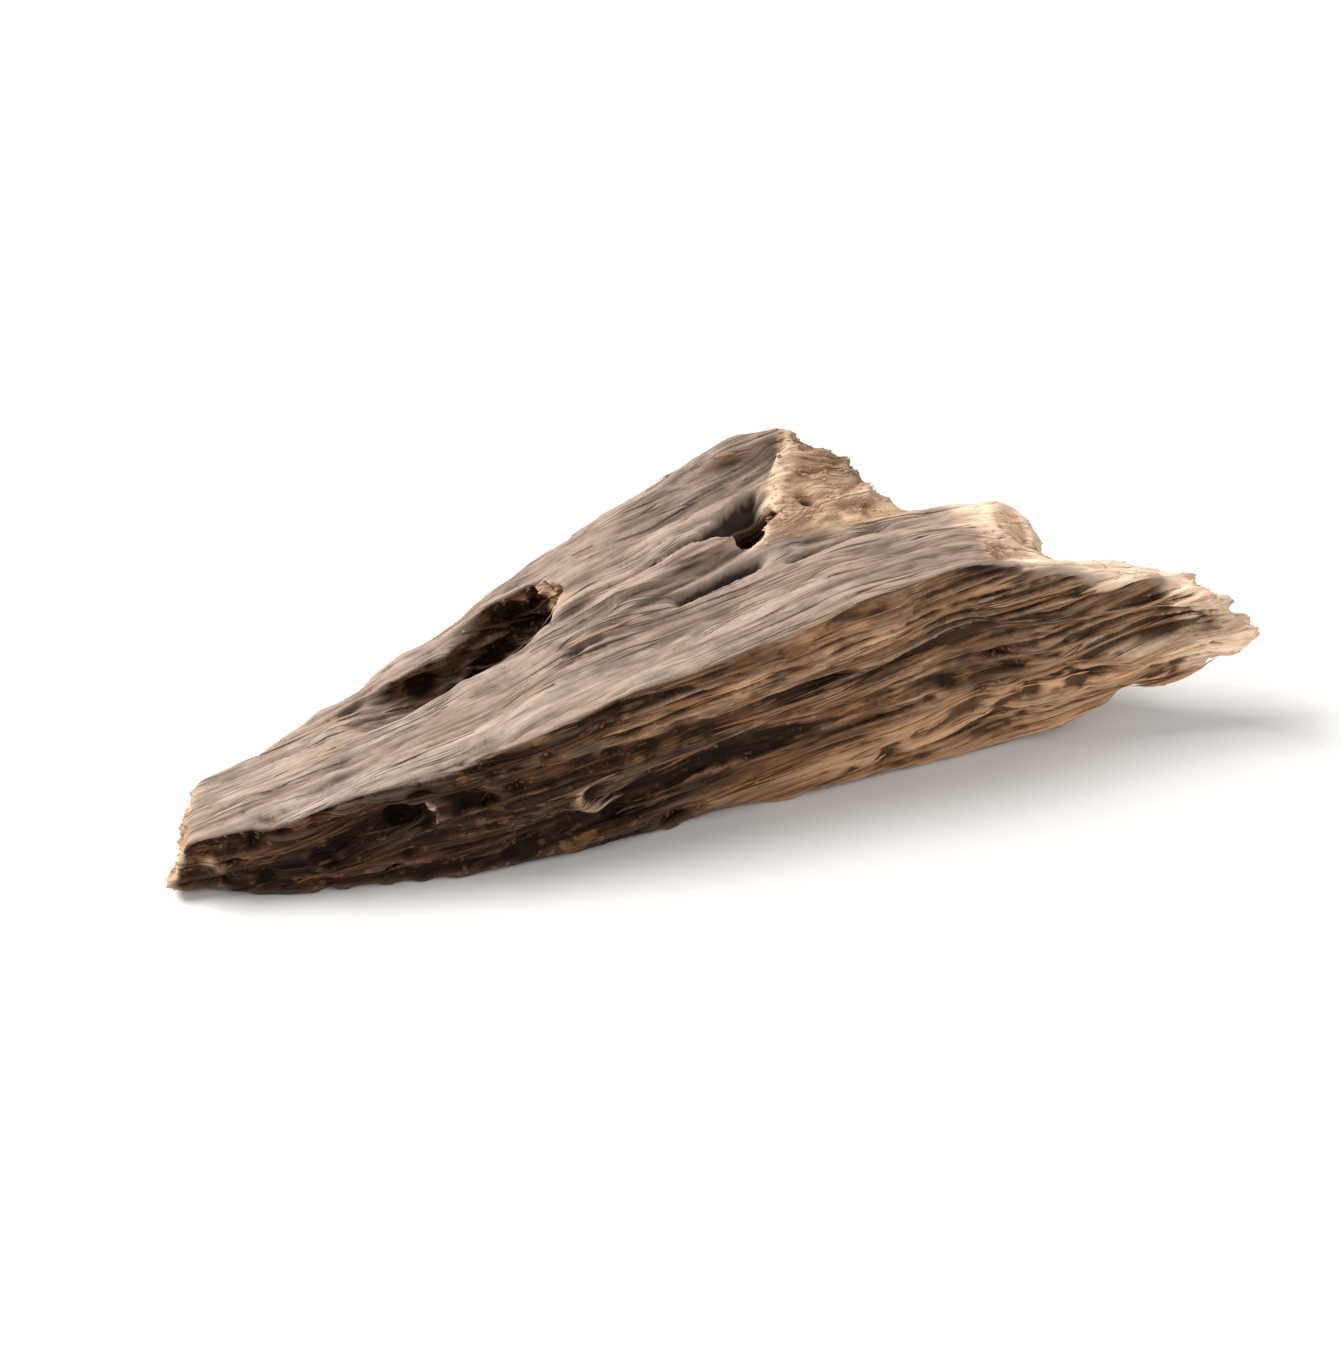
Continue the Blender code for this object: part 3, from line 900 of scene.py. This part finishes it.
# %% All the masks
def add_masks(geometry, place, position):
    tree = geometry.tree
    geometry = store(geometry, "fibre_mm", place, "FLOAT_VECTOR")
    ragged = noise(place, *RAGGED, detail=3) - 0.5
    geometry = end_masks(geometry, skin_normal(tree, BLUR), position, ragged)
    geometry = side_masks(geometry, skin_normal(tree, LEDGE_BLUR), position, ragged)
    x, y, z = split_vector(scaled(position, 1 / MM))
    notch = notch_mask(x, y, z, ragged)
    for slit in SLITS:
        notch = maths("MAXIMUM", notch, slit_mask(x, y, z, ragged, *slit) * SLIT_DEPTH)
    geometry = store(geometry, "notch", notch)
    # The dents and the notch. The skin is painted dark in them as shade, and the scattered pieces keep out
    # of them.
    dent_and_painted_shade = ramp(depth_below(position, skin_normal(tree, BLUR), DENT_BLUR), 0.4, 1.2)
    return store(geometry, "dent_and_painted_shade", maths("MAXIMUM", dent_and_painted_shade, ramp(notch, 0.12, 0.42)))


# %% [markdown]
# ## The relief of torn wood
#
# Wood that is split tears in layers, so a side is a pile of thin plates with ragged edges. A bump in the
# material could draw them, but their edges have to show in the outline and cast shadows. A terrace of
# stretched noise gives just that: noise is cut into a few flat levels with steep steps between them.
# Cracks are the thin lines where another noise crosses its middle value. Rot leaves round pits, and on
# a broken end each bundle of fibres stops at a height of its own.

# %% Layers, pits and torn bundles
STEP_WIDTH = 0.2       # share of a level that its edge takes


def layers(place, length, width, levels, seed):
    """Plates of wood, from 0 to 1 in that many levels."""
    broad = noise(place, length, width, seed, detail=0)
    ragged = noise(place, length * 0.2, width * 0.35, seed + 2, detail=1)
    climb = blend(0.24, broad, ragged) * levels
    edge = ramp(maths("FRACT", climb), 1 - STEP_WIDTH, 1)
    return (maths("FLOOR", climb) + edge) * (1 / levels)


def pits(place, length, width, seed):
    """1 at the bottom of round rot pits."""
    return ramp(Wire(voronoi(place, length, width, seed).outputs["Distance"]), 0.14, 0.42, 1, 0)


def bundles(place, length, width, seed):
    """A number from 0 to 1 for each bundle of fibres."""
    return split_vector(Wire(voronoi(place, length, width, seed).outputs["Color"]))[0]


# %% [markdown]
# ## Hollows painted as shade, and worn edges
#
# Hollows are painted dark as shade, and handling pales the edges. How much a point lies below the average
# of its neighbours tells one from the other, so the finished relief is compared with a blurred copy of
# itself, once over a short reach for fibres and once over a long one for the larger dents.

# %% Painted shade and wear from the relief
WEAR_BLUR, FIBRE_BLUR = 3, 6


def add_wear(geometry):
    """Stores how far each point of the finished relief is sunk, which is painted as shade, and how worn it
    is.
    """
    position, normal = here(geometry.tree), skin_normal(geometry.tree, WEAR_BLUR)
    near = depth_below(position, normal, FIBRE_BLUR)
    far = depth_below(position, normal, LEDGE_BLUR)
    geometry = store(geometry, "hollow_and_painted_shade", ramp(near * 3.2 + far * 1.5, 0.03, 0.45))
    return store(geometry, "worn", ramp(near * -3.2 + far * -1.1, 0.06, 0.5))


# %% [markdown]
# ## All the relief in one tree
#
# One tree moves every point of the blank once: out or in along the skin's normal for layers, cracks and
# pits, along the fibres for the torn ends, and down in the notch and the slits. Its depths are named
# inputs in millimetres. Near the table the relief fades out, so that the chip still lies flat.

# %% Relief of the sides
PLATES, THIN_PLATES = (36, 1.8, 9, 11.3), (22, 0.75, 6, 23.1)   # length, width, levels, seed
RIDGES, CHATTER = (24, 0.42, 27.1), (3.4, 1.0, 33.7)
OPEN_CRACKS, FINE_CRACKS = (34, 1.3, 31.7), (24, 0.6, 37.7)


def side_relief(size, calm):
    """How far the skin rises or sinks at a place, mm."""
    def pattern(at):
        plates = (layers(at, *PLATES) - 0.56) * size["Layer depth"]
        thin_plates = (layers(at, *THIN_PLATES) - 0.5) * size["Thin layer depth"]
        fibres = (noise(at, *RIDGES, detail=1) - 0.5) * size["Fibre depth"]
        chatter = (noise(at, *CHATTER, detail=3, rough=0.6) - 0.5) * size["Chatter depth"]
        open_cracks = cracks(at, *OPEN_CRACKS) * size["Crack depth"]
        fine_cracks = cracks(at, *FINE_CRACKS) * (size["Crack depth"] * 0.4)
        return (plates + thin_plates - open_cracks) * calm + fibres + chatter - fine_cracks
    return pattern


# %% Relief of the sunk and the rough parts
SEAM_CRACKS, FAN_CRACKS = (40, 1.1, 43.3), (60, 0.8, 47.3)
SMALL_PITS, LARGE_PITS, STRAY_PITS = (1.8, 1.1, 41.9), (3.4, 2.4, 44.9), (9, 3, 46.7)
CRUMBLE, BLOCKS, FACET_GRAINS = (2.0, 1.1, 48.3), (2.6, 0.6, 53.3), (0.8, 0.7, 49.3)


def sunk_parts(place, size, mask):
    """How deep the seam, the fan of cracks and the rot pits go, mm."""
    seam = over_skin(lambda at: cracks(at, *SEAM_CRACKS, thin=0.05, most=0.3), place, mask["upward"])
    fan = over_skin(lambda at: cracks(at, *FAN_CRACKS, thin=0.06, most=0.3), place, mask["upward"])
    rot = pits(place, *SMALL_PITS) * 0.6 + pits(place, *LARGE_PITS)
    stray = ramp(noise(place, *STRAY_PITS), 0.5, 0.62) * (1 - mask["bleached"]) * 0.55
    rotten = maths("MAXIMUM", mask["rotted"], stray)
    lines = seam * mask["seam"] * size["Seam depth"] + fan * mask["dark_fan"] * size["Crack depth"]
    return lines + rot * rotten * size["Pit depth"]


def rough_parts(place, size, mask):
    """The crumbly pocket, the grainy facet and the round end of the band, mm."""
    crumbly = (mask["pocket"] + mask["notch"] * 0.6) * size["Pocket roughness"]
    crumbled = (noise(place, *CRUMBLE, detail=4, rough=0.7) - 0.5) * crumbly
    blocks = (bundles(place, *BLOCKS) - 0.5) * mask["pocket"] * size["Rot blocks"]
    grains = (noise(place, *FACET_GRAINS, detail=2) - 0.5) * mask["facet"] * size["Facet roughness"]
    bulge = mask["knob"] * size["Band end bulge"] - mask["disc"] * size["Disc depth"]
    return crumbled + blocks + grains + bulge + mask["flake"] * size["Flake lift"]


# %% The relief tree
RELIEF = {
    "Layer depth": 1.25, "Thin layer depth": 0.42, "Fibre depth": 0.2, "Chatter depth": 0.5,
    "Crack depth": 0.5, "Seam depth": 0.75, "Notch depth": 1.7, "Pit depth": 1.0,
    "Pocket roughness": 2.2, "Rot blocks": 1.0, "Facet roughness": 0.7, "Bundle tear": 0.75,
    "Band end bulge": 0.5, "Disc depth": 0.3, "Flake lift": 0.4, "Calm top": 0.42,
    "Foot clearance": 0.9,
}
RELIEF_MASKS = (
    "broken", "bleached", "rotted", "upward", "seam", "notch", "dark_fan", "knob", "disc", "pocket",
    "facet", "flake",
)
LONG_BUNDLES, SHORT_BUNDLES = (9, 1.3, 51.3), (4, 0.42, 57.1)


def relief_height(place, size, mask):
    """How far the skin rises or sinks, mm."""
    calm = blend(mask["bleached"], 1.0, size["Calm top"])
    skin = over_skin(side_relief(size, calm), place, mask["upward"])
    smooth = (skin - sunk_parts(place, size, mask)) * (1 - mask["broken"])
    return smooth + rough_parts(place, size, mask)


def torn_ends(tree, place, size, mask, clear):
    """How far each bundle of fibres stops short of the break or stands beyond it, mm."""
    stub = (bundles(place, *LONG_BUNDLES) - 0.6) + (bundles(place, *SHORT_BUNDLES) - 0.5) * 0.5
    way = maths("SIGN", vector_maths("DOT_PRODUCT", skin_normal(tree, BLUR), tuple(GRAIN)))
    return stub * way * mask["broken"] * clear * size["Bundle tear"] * (1 - mask["knob"] * 0.75)


def relief_tree():
    tree, size = geometry_tree("torn_grain", RELIEF)
    position = here(tree)
    place = fibre_place(position)
    geometry = add_masks(size["Geometry"], place, position)
    mask = {name: attribute(tree, name) for name in RELIEF_MASKS}
    clear = ramp(split_vector(scaled(position, 1 / MM))[2], 0.1, size["Foot clearance"])
    outward = scaled(skin_normal(tree, 2), relief_height(place, size, mask) * clear * MM)
    tear = scaled(tuple(GRAIN), torn_ends(tree, place, size, mask, clear) * MM)
    down = scaled((0.0, 0.0, -1.0), mask["notch"] * size["Notch depth"] * MM)
    offset = vector_maths("ADD", vector_maths("ADD", outward, tear), down)
    geometry = moved(geometry, blurred(offset, 1))
    return finish_tree(add_wear(geometry), SKIN)


add_tree(chip, relief_tree())
freeze(chip)
chip.data.shade_smooth()

# %% [markdown]
# ## Splinters and crumbs
#
# Torn wood never ends in a clean skin. Long thin splinters lie along its sides, short stubs stand on its
# broken ends, and crumbs of rot gather in its pits. Placed by hand, thousands of them would take days. So
# Geometry Nodes scatter one simple shape of each over the wood, turn it along the fibres and give it a
# size of its own. The splinters on the sides are then drawn down onto the wood, so that none of them
# hangs in the air.

# %% Points, turns and sizes
def random_number(tree, low, high, seed):
    made = node(tree, "FunctionNodeRandomValue", {2: low, 3: high, "Seed": seed}, data_type="FLOAT")
    return Wire(made.outputs[1])


def scatter(wood, density, seed):
    """Points on the wood and the skin's normal at each."""
    facts = {"Mesh": wood, "Density": density, "Seed": seed}
    made = node(wood.tree, "GeometryNodeDistributePointsOnFaces", facts)
    return Wire(made.outputs["Points"]), Wire(made.outputs["Normal"])


def aligned(vector, axis, tree, rotation=None, pivot="AUTO"):
    """A rotation that turns that axis to the vector, starting from a rotation where one is given."""
    facts = {"Vector": vector, **({"Rotation": rotation} if rotation else {})}
    made = node(tree, "FunctionNodeAlignRotationToVector", facts, axis=axis, pivot_axis=pivot)
    return Wire(made.outputs[0])


def tilted(rotation, angles):
    """The rotation with three small angles added about its own axes."""
    by = Wire(node(rotation.tree, "FunctionNodeEulerToRotation", {0: angles}).outputs[0])
    facts = {"Rotation": rotation, "Rotate By": by}
    return Wire(node(rotation.tree, "FunctionNodeRotateRotation", facts, rotation_space="LOCAL").outputs[0])


# %% Shapes on the points
def placed(points, shape, rotation, size):
    facts = {"Points": points, "Instance": shape, "Rotation": rotation, "Scale": size}
    made = node(points.tree, "GeometryNodeInstanceOnPoints", facts)
    real = node(points.tree, "GeometryNodeRealizeInstances", {"Geometry": Wire(made.outputs[0])})
    return Wire(real.outputs[0])


def skewed(share, low, high):
    """A size between low and high, most often near low."""
    return blend(share * share, low, high) * MM


def with_fibres(geometry):
    return store(geometry, "fibre_mm", fibre_place(here(geometry.tree)), "FLOAT_VECTOR")


def add_scatter(name, tree):
    """A piece that starts as the wood's own mesh, and keeps only what the tree scatters over it."""
    piece = bpy.data.objects.new(name, chip.data.copy())
    bpy.context.scene.collection.objects.link(piece)
    add_tree(piece, tree)
    freeze(piece)
    return piece


# %% [markdown]
# ## Splinters along the sides
#
# Each is a thin spindle with pointed ends. It lies with its length along the fibres and its flat side on
# the wood, a few degrees askew, and every point of it stays within a small lift of the wood.

# %% A spindle and how it is laid on the wood
SPINDLE_SIDES, SPINDLE_RINGS = 6, 8
BLUNTNESS = 0.004      # keeps the points of a spindle from closing to nothing


def spindle(tree):
    """A unit spindle along X: wide in the middle and pointed at both ends."""
    facts = {"Vertices": SPINDLE_SIDES, "Side Segments": SPINDLE_RINGS, "Radius": 0.5, "Depth": 1.0}
    bar = Wire(node(tree, "GeometryNodeMeshCylinder", facts, fill_type="TRIANGLE_FAN").outputs["Mesh"])
    facts = {"Geometry": bar, "Rotation": (0, math.pi / 2, 0)}
    bar = Wire(node(tree, "GeometryNodeTransform", facts).outputs[0])
    x, y, z = split_vector(here(tree))
    taper = maths("SQRT", maths("MAXIMUM", 1 - x * x * 4, BLUNTNESS))
    return moved_to(bar, join_vector(x, y * taper, z * taper))


def laid_on(geometry, wood, lift):
    """Draws every point to within that lift of the wood."""
    tree = geometry.tree
    nearest = node(tree, "GeometryNodeProximity", {"Geometry": wood}, target_element="FACES")
    foot = Wire(nearest.outputs["Position"])
    share = maths("MINIMUM", maths("DIVIDE", lift, Wire(nearest.outputs["Distance"])), 1.0)
    drawn = scaled(vector_maths("SUBTRACT", here(tree), foot), share)
    return moved_to(geometry, vector_maths("ADD", foot, drawn))


# %% The side splinters
SIDE_SPLINTERS = {
    "Per square metre": 420000.0, "Shortest": 1.6, "Longest": 9.0, "Width": 0.32, "Thickness": 0.15,
    "Lift": 0.12, "Seed": 3,
}
PITCH, YAW = 0.02, 0.07   # radians to either side of the fibres


def side_splinter_tree():
    tree, size = geometry_tree("side_splinters", SIDE_SPLINTERS)
    wood = size["Geometry"]
    z = split_vector(here(tree))[2]
    bare = (1 - attribute(tree, "bleached") * 0.8) * (1 - attribute(tree, "broken"))
    fit = bare * ramp(z, 0.4 * MM, 1.2 * MM) * (attribute(tree, "worn") + 0.25)
    fit = fit * (1 - attribute(tree, "dent_and_painted_shade"))
    points, normal = scatter(wood, fit * size["Per square metre"], size["Seed"])
    flat = aligned(tuple(GRAIN), "X", tree, aligned(normal, "Z", tree), pivot="Z")
    askew = join_vector(0.0, random_number(tree, -PITCH, PITCH, 5), random_number(tree, -YAW, YAW, 6))
    length = skewed(random_number(tree, 0.0, 1.0, 7), size["Shortest"], size["Longest"])
    width = random_number(tree, 0.45, 1.0, 8) * size["Width"] * MM
    thickness = random_number(tree, 0.6, 1.0, 9) * size["Thickness"] * MM
    laid = placed(points, spindle(tree), tilted(flat, askew), join_vector(length, width, thickness))
    return finish_tree(with_fibres(laid_on(laid, wood, size["Lift"] * MM)), LOOSE_FIBRE)


side_splinters = add_scatter("side_splinters", side_splinter_tree())
side_splinters.data.shade_smooth()

# %% [markdown]
# ## Stubs on the broken ends
#
# Where the wood broke across, bundles of fibres stand out like the bristles of a worn brush. Each is a
# short blunt cone, bent a little, whose foot is sunk in the wood. They are kept short and nearly straight,
# because long ones would look like hair.

# %% A bristle
BRISTLE_SIDES, BRISTLE_RINGS = 5, 4
FOOT_SUNK = 0.45       # the share of a bristle that is sunk in the wood


def bristle(tree, bend):
    """A unit cone along X, from behind the origin, that bends towards Z."""
    facts = {"Vertices": BRISTLE_SIDES, "Side Segments": BRISTLE_RINGS, "Depth": 1.0}
    facts.update({"Radius Top": 0.2, "Radius Bottom": 0.5})
    cone = Wire(node(tree, "GeometryNodeMeshCone", facts).outputs["Mesh"])
    facts = {"Geometry": cone, "Rotation": (0, math.pi / 2, 0), "Translation": (-FOOT_SUNK, 0, 0)}
    cone = Wire(node(tree, "GeometryNodeTransform", facts).outputs[0])
    x = split_vector(here(tree))[0]
    return moved(cone, join_vector(0.0, 0.0, x * x * bend))


# %% The end stubs
END_STUBS = {
    "Per square metre": 2800000.0, "Shortest": 0.15, "Longest": 0.4, "Width": 0.28, "Bend": 0.1,
    "Seed": 9,
}
ANY_WAY, ASKEW = 3.1, 0.12   # radians to either side, about the stub's own length and across it


def end_stub_tree():
    tree, size = geometry_tree("end_stubs", END_STUBS)
    z = split_vector(here(tree))[2]
    fit = attribute(tree, "broken") * ramp(z, 0.3 * MM, 1.0 * MM) * (1 - attribute(tree, "dent_and_painted_shade"))
    fit = fit * (1 - attribute(tree, "knob") * 0.9)
    points, normal = scatter(size["Geometry"], fit * size["Per square metre"], size["Seed"])
    way = maths("SIGN", vector_maths("DOT_PRODUCT", normal, tuple(GRAIN)))
    out = aligned(vector_maths("ADD", scaled(tuple(GRAIN), way), scaled(normal, 0.12)), "X", tree)
    angles = [random_number(tree, -a, a, n) for a, n in ((ANY_WAY, 5), (ASKEW, 6), (ASKEW, 7))]
    length = skewed(random_number(tree, 0.0, 1.0, 8), size["Shortest"], size["Longest"])
    width = random_number(tree, 0.4, 1.0, 9) * size["Width"] * MM
    rotation = tilted(out, join_vector(*angles))
    stood = placed(points, bristle(tree, size["Bend"]), rotation, join_vector(length, width, width))
    return finish_tree(with_fibres(stood), TORN_FIBRE)


end_stubs = add_scatter("end_stubs", end_stub_tree())

# %% [markdown]
# ## Crumbs
#
# Rot turns wood to crumbs, which lie in heaps in the pits and in the hollows. Each is a little ball that
# is squashed and turned at random, sunk to its middle. A heap could be simulated, but at this size a
# random heap looks the same.

# %% The crumbs
CRUMBS = {"Per square metre": 5000000.0, "Smallest": 0.12, "Largest": 0.42, "Seed": 21}
HEAPS, HEAP_EDGE, HEAP_CROWDING = (5, 2, 61.3), (0.44, 0.6), 1.7
UNEVEN = 0.13          # how far each point of a ball strays, against the ball's width


def crumb_tree():
    tree, size = geometry_tree("crumbs", CRUMBS)
    z = split_vector(here(tree))[2]
    rough = attribute(tree, "rotted") * 0.9 + attribute(tree, "dent_and_painted_shade") * 0.2
    rough = rough + attribute(tree, "facet") * 0.35
    fit = rough * (attribute(tree, "hollow_and_painted_shade") * 0.9 + 0.1) * ramp(z, 0.3 * MM, 0.9 * MM)
    fit = fit * (1 - attribute(tree, "bleached") * (1 - attribute(tree, "facet")))
    heaps = noise(attribute(tree, "fibre_mm", "FLOAT_VECTOR"), *HEAPS)
    fit = fit * ramp(heaps, *HEAP_EDGE) * HEAP_CROWDING
    points, _ = scatter(size["Geometry"], fit * size["Per square metre"], size["Seed"])
    turned = join_vector(*[random_number(tree, -ANY_WAY, ANY_WAY, n) for n in (5, 6, 7)])
    turned = Wire(node(tree, "FunctionNodeEulerToRotation", {0: turned}).outputs[0])
    ball = Wire(node(tree, "GeometryNodeMeshIcoSphere", {"Radius": 0.5, "Subdivisions": 2}).outputs["Mesh"])
    ball = moved(ball, join_vector(*[random_number(tree, -UNEVEN, UNEVEN, n) for n in (10, 11, 12)]))
    across = skewed(random_number(tree, 0.0, 1.0, 8), size["Smallest"], size["Largest"])
    shape = join_vector(across * random_number(tree, 1.0, 2.2, 9), across, across * 0.7)
    return finish_tree(with_fibres(placed(points, ball, turned, shape)), CRUMBLED)


crumbs = add_scatter("crumbs", crumb_tree())
pieces = (chip, side_splinters, end_stubs, crumbs)

# %% [markdown]
# ## Handing over
#
# The dressed wood takes the solid's place, and all four pieces ride on the one body that the chip has.
# Their box is compared with the solid's.

# %% Hand over
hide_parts(CHIP)
for piece in pieces:
    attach(piece, "root")

visual_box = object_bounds()
for side, low, high, cad_low, cad_high in zip("XYZ", *visual_box, *cad_box):
    print(side, "visual / solid:", round((high - low) / (cad_high - cad_low), 3))
